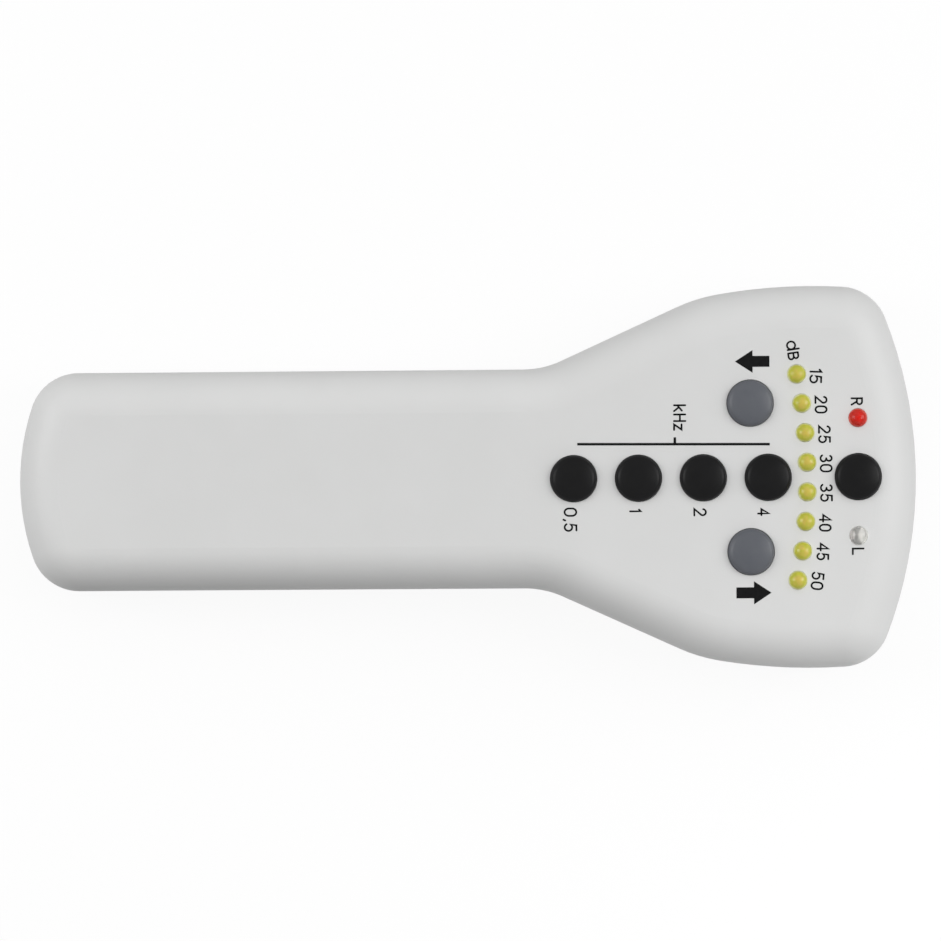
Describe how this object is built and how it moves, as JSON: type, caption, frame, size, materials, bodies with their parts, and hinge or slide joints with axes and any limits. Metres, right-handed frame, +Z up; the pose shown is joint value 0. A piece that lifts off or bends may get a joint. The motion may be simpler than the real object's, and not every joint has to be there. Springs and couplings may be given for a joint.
{
  "type": "audiometer",
  "caption": "Handheld screening audiometer: slim grip, wide flared head with round push keys, a bowed row of level lights, two ear lights and a headphone socket.",
  "frame": {"origin": "middle of the housing's footprint, on the flat underside", "axes": "+X from the grip to the wide head, +Y to the left-hand side of the head, +Z up out of the key face"},
  "size_m": [0.227, 0.0966, 0.0323],
  "materials": {
    "housing": "fine moulded texture",
    "black_cap": "fine satin moulding",
    "grey_cap": "fine satin moulding",
    "stem_plastic": "smooth",
    "switch_plastic": "smooth",
    "spring_steel": "polished",
    "yellow_lens": "glossy, tinted",
    "red_lens": "glossy, tinted",
    "clear_lens": "glossy, clear",
    "board": "lacquered",
    "tinned_wire": "tinned",
    "spacer_nylon": "smooth",
    "chip_plastic": "moulded epoxy",
    "crystal_steel": "satin",
    "capacitor_sleeve": "shrunk sleeve",
    "resistor_ceramic": "lacquered",
    "socket_plastic": "smooth",
    "collar_metal": "nickel plated",
    "battery_metal": "painted can",
    "terminal_metal": "nickel plated",
    "plate_plastic": "smooth",
    "strip_metal": "rolled",
    "screw_steel": "zinc plated"
  },
  "bodies": {
    "housing": {"top_shell": "housing", "bottom_shell": "housing", "switch_base_500hz": "switch_plastic", "switch_dome_500hz": "spring_steel", "switch_base_1khz": "switch_plastic", "switch_dome_1khz": "spring_steel", "switch_base_2khz": "switch_plastic", "switch_dome_2khz": "spring_steel", "switch_base_4khz": "switch_plastic", "switch_dome_4khz": "spring_steel", "switch_base_ear": "switch_plastic", "switch_dome_ear": "spring_steel", "switch_base_level_down": "switch_plastic", "switch_dome_level_down": "spring_steel", "switch_base_level_up": "switch_plastic", "switch_dome_level_up": "spring_steel", "level_light_15": "yellow_lens", "level_light_20": "yellow_lens", "level_light_25": "yellow_lens", "level_light_30": "yellow_lens", "level_light_35": "yellow_lens", "level_light_40": "yellow_lens", "level_light_45": "yellow_lens", "level_light_50": "yellow_lens", "right_light": "red_lens", "left_light": "clear_lens", "circuit_board": "board", "light_leads": "tinned_wire", "light_spacers": "spacer_nylon", "processor_chip": "chip_plastic", "amplifier_chip": "chip_plastic", "crystal_can": "crystal_steel", "capacitors": "capacitor_sleeve", "resistors": "resistor_ceramic", "headphone_socket": "socket_plastic", "socket_collar": "collar_metal", "battery_case": "battery_metal", "battery_terminals": "terminal_metal", "contact_clips": "terminal_metal", "contact_plate": "plate_plastic", "contact_strips": "strip_metal", "housing_screws": "screw_steel", "board_screws": "screw_steel"},
    "battery_door": {"battery_door": "housing"},
    "key_500hz": {"key_cap_500hz": "black_cap", "key_stem_500hz": "stem_plastic"},
    "key_1khz": {"key_cap_1khz": "black_cap", "key_stem_1khz": "stem_plastic"},
    "key_2khz": {"key_cap_2khz": "black_cap", "key_stem_2khz": "stem_plastic"},
    "key_4khz": {"key_cap_4khz": "black_cap", "key_stem_4khz": "stem_plastic"},
    "key_ear": {"key_cap_ear": "black_cap", "key_stem_ear": "stem_plastic"},
    "key_level_down": {"key_cap_level_down": "grey_cap", "key_stem_level_down": "stem_plastic"},
    "key_level_up": {"key_cap_level_up": "grey_cap", "key_stem_level_up": "stem_plastic"}
  },
  "joints": [
    {"name": "battery_door_slide", "type": "slide", "parent": "housing", "child": "battery_door", "axis": [-1, 0, 0], "range_m": [0, 0.066]},
    {"name": "key_500hz_press", "type": "slide", "parent": "housing", "child": "key_500hz", "axis": [0, 0, -1], "range_m": [0, 0.001], "stiffness_N_per_m": 2000, "springref_m": -0.0004, "deforming": ["switch_dome_500hz"]},
    {"name": "key_1khz_press", "type": "slide", "parent": "housing", "child": "key_1khz", "axis": [0, 0, -1], "range_m": [0, 0.001], "stiffness_N_per_m": 2000, "springref_m": -0.0004, "deforming": ["switch_dome_1khz"]},
    {"name": "key_2khz_press", "type": "slide", "parent": "housing", "child": "key_2khz", "axis": [0, 0, -1], "range_m": [0, 0.001], "stiffness_N_per_m": 2000, "springref_m": -0.0004, "deforming": ["switch_dome_2khz"]},
    {"name": "key_4khz_press", "type": "slide", "parent": "housing", "child": "key_4khz", "axis": [0, 0, -1], "range_m": [0, 0.001], "stiffness_N_per_m": 2000, "springref_m": -0.0004, "deforming": ["switch_dome_4khz"]},
    {"name": "key_ear_press", "type": "slide", "parent": "housing", "child": "key_ear", "axis": [0, 0, -1], "range_m": [0, 0.001], "stiffness_N_per_m": 2000, "springref_m": -0.0004, "deforming": ["switch_dome_ear"]},
    {"name": "key_level_down_press", "type": "slide", "parent": "housing", "child": "key_level_down", "axis": [0, 0, -1], "range_m": [0, 0.001], "stiffness_N_per_m": 2000, "springref_m": -0.0004, "deforming": ["switch_dome_level_down"]},
    {"name": "key_level_up_press", "type": "slide", "parent": "housing", "child": "key_level_up", "axis": [0, 0, -1], "range_m": [0, 0.001], "stiffness_N_per_m": 2000, "springref_m": -0.0004, "deforming": ["switch_dome_level_up"]}
  ]
}
